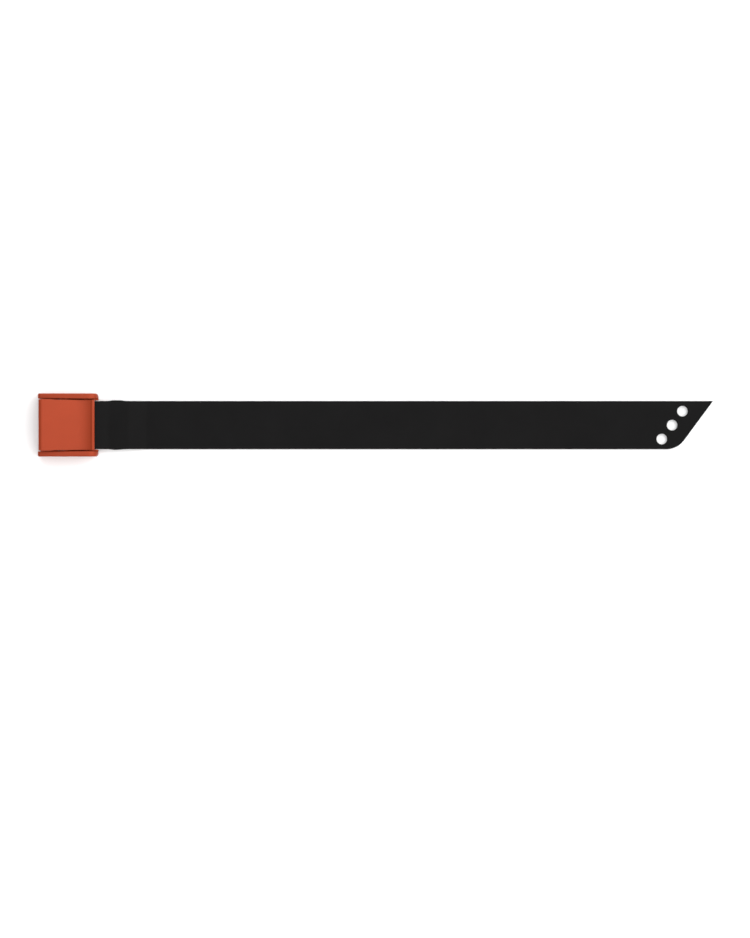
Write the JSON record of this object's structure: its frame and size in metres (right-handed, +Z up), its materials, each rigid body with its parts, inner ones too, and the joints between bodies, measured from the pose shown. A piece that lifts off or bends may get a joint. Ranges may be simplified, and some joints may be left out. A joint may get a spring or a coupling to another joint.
{
  "type": "cam buckle strap",
  "caption": "Short coated webbing strap with a spring-loaded cam buckle on its folded end and a slanting, punched point.",
  "frame": {"origin": "under the middle of the strap laid out flat, on the surface that it lies on", "axes": "+X along the strap from the buckle to the slanting point, +Y across it towards the point's sharp corner, +Z up, away from the surface"},
  "size_m": [0.35, 0.0326, 0.0167],
  "materials": {
    "strap_coating": "smooth satin black coating",
    "strap_core": "woven polyester",
    "anodised": "satin red-orange anodised",
    "steel": "plain stainless pin",
    "spring_steel": "drawn spring wire"
  },
  "bodies": {
    "strap": {"strap_coating": "strap_coating", "fold_coating": "strap_coating", "strap_core": "strap_core"},
    "buckle": {"buckle_frame": "anodised", "pivot_pin": "steel", "strap_bar": "steel", "spring_left": "spring_steel", "spring_right": "spring_steel"},
    "lever": {"cam_lever": "anodised"}
  },
  "joints": [
    {"name": "buckle_tilt", "type": "hinge", "parent": "strap", "child": "buckle", "pos_m": [-0.1508, 0, 0.0034], "axis": [0, 1, 0], "range_deg": [-100, 35]},
    {"name": "lever_release", "type": "hinge", "parent": "buckle", "child": "lever", "pos_m": [-0.1611, 0, 0.009], "axis": [0, -1, 0], "range_deg": [0, 28], "stiffness_Nm_per_rad": 0.02, "springref_deg": -20.05, "deforming": ["spring_left", "spring_right"]}
  ]
}
